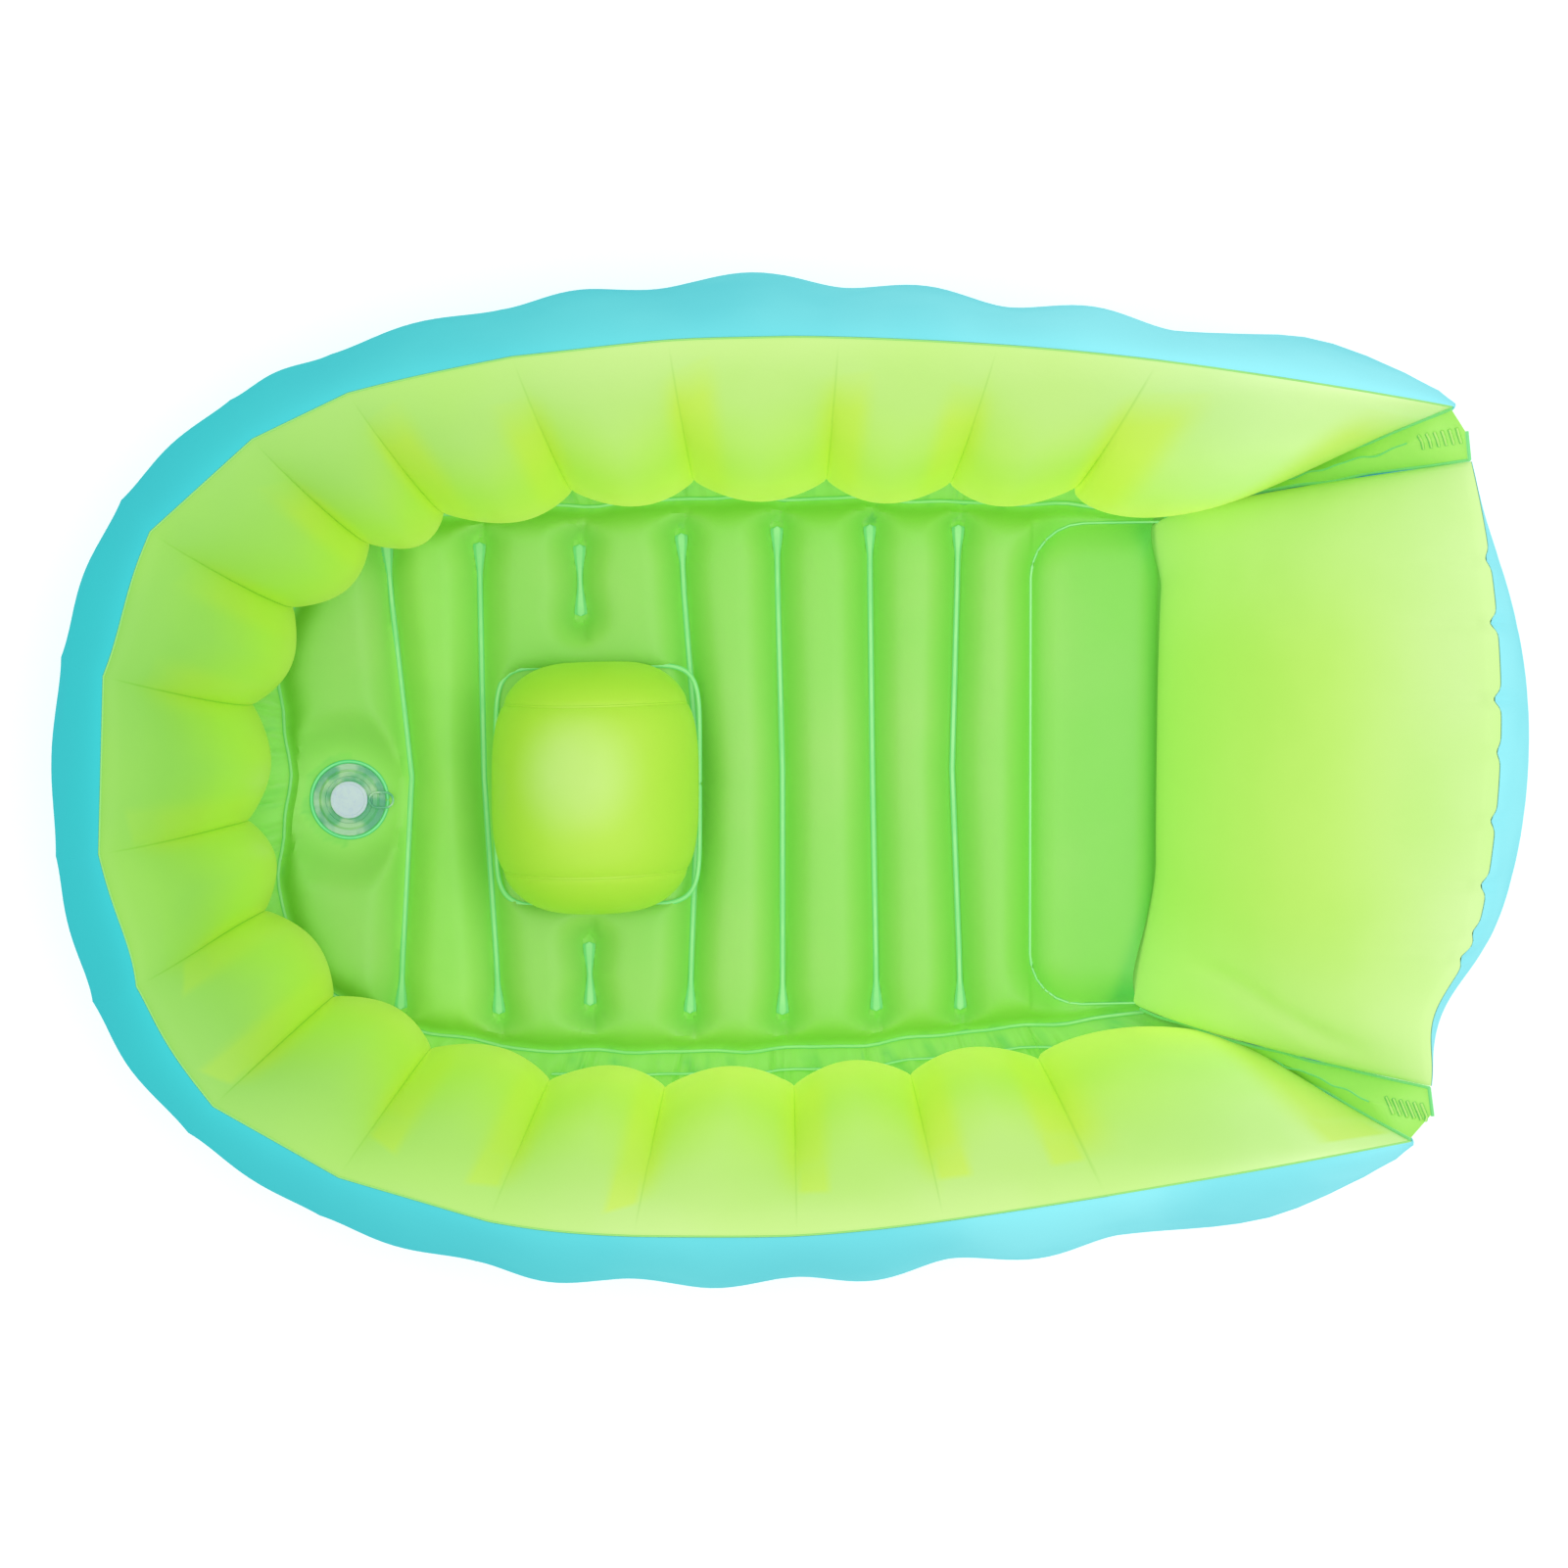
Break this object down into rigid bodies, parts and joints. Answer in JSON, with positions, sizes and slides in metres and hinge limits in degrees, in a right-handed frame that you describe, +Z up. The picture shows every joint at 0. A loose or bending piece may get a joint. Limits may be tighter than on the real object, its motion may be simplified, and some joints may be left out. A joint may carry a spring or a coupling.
{
  "type": "foldable baby bathtub",
  "caption": "Inflatable baby bathtub of welded vinyl film: lobed wall, quilted floor, saddle horn, wedge backrest, corner gussets, drain with plug and air valves.",
  "frame": {"origin": "middle of the footprint's box, on the ground", "axes": "+X along the tub towards the backrest, +Y to the left when looking from the nose to the backrest, +Z up"},
  "size_m": [0.9789, 0.6694, 0.2802],
  "materials": {
    "outer_film": "satin soft vinyl film, slightly translucent",
    "inner_film": "satin soft vinyl film, slightly translucent",
    "web_film": "clear soft vinyl film",
    "base_film": "satin soft vinyl film",
    "floor_film": "satin soft vinyl film with welded quilting",
    "horn_film": "satin soft vinyl film",
    "backrest_film": "satin soft vinyl film",
    "gusset_film": "satin soft vinyl film, two layers",
    "clear_fitting": "clear moulded soft vinyl"
  },
  "bodies": {
    "tub": {"outer_wall_film": "outer_film", "backrest_rear_film": "outer_film", "inner_wall_film": "inner_film", "wall_web_01": "web_film", "wall_web_02": "web_film", "wall_web_03": "web_film", "wall_web_04": "web_film", "wall_web_05": "web_film", "wall_web_06": "web_film", "wall_web_07": "web_film", "wall_web_08": "web_film", "wall_web_09": "web_film", "wall_web_10": "web_film", "wall_web_11": "web_film", "wall_web_12": "web_film", "wall_web_13": "web_film", "wall_web_14": "web_film", "wall_web_15": "web_film", "wall_web_16": "web_film", "wall_web_17": "web_film", "wall_web_18": "web_film", "base_film": "base_film", "floor_film": "floor_film", "horn_centre_panel": "horn_film", "horn_left_panel": "horn_film", "horn_right_panel": "horn_film", "backrest_front_film": "backrest_film", "left_corner_gusset": "gusset_film", "right_corner_gusset": "gusset_film", "drain_ring": "clear_fitting", "wall_valve_stem": "clear_fitting", "backrest_valve_stem": "clear_fitting"},
    "drain_plug": {"drain_plug": "clear_fitting"},
    "wall_valve_plug": {"wall_valve_plug": "clear_fitting"},
    "wall_valve_flap": {"wall_valve_flap": "clear_fitting"},
    "backrest_valve_plug": {"backrest_valve_plug": "clear_fitting"},
    "backrest_valve_flap": {"backrest_valve_flap": "clear_fitting"}
  },
  "joints": [
    {"name": "drain_plug_lift", "type": "slide", "parent": "tub", "child": "drain_plug", "axis": [0, 0, 1], "range_m": [0, 0.28]},
    {"name": "wall_valve_plug_pull", "type": "slide", "parent": "tub", "child": "wall_valve_plug", "axis": [-0.0166, -0.9941, -0.1076], "range_m": [0, 0.016]},
    {"name": "wall_valve_flap_swing", "type": "hinge", "parent": "tub", "child": "wall_valve_flap", "pos_m": [-0.03812, -0.31938, 0.08647], "axis": [0.9999, -0.0167, 0], "range_deg": [0, 35], "stiffness_Nm_per_rad": 0.0002},
    {"name": "backrest_valve_plug_pull", "type": "slide", "parent": "tub", "child": "backrest_valve_plug", "axis": [0.955, 0, -0.2966], "range_m": [0, 0.016]},
    {"name": "backrest_valve_flap_swing", "type": "hinge", "parent": "tub", "child": "backrest_valve_flap", "pos_m": [0.46826, 0, 0.07669], "axis": [0, 1, 0], "range_deg": [0, 35], "stiffness_Nm_per_rad": 0.0002}
  ]
}
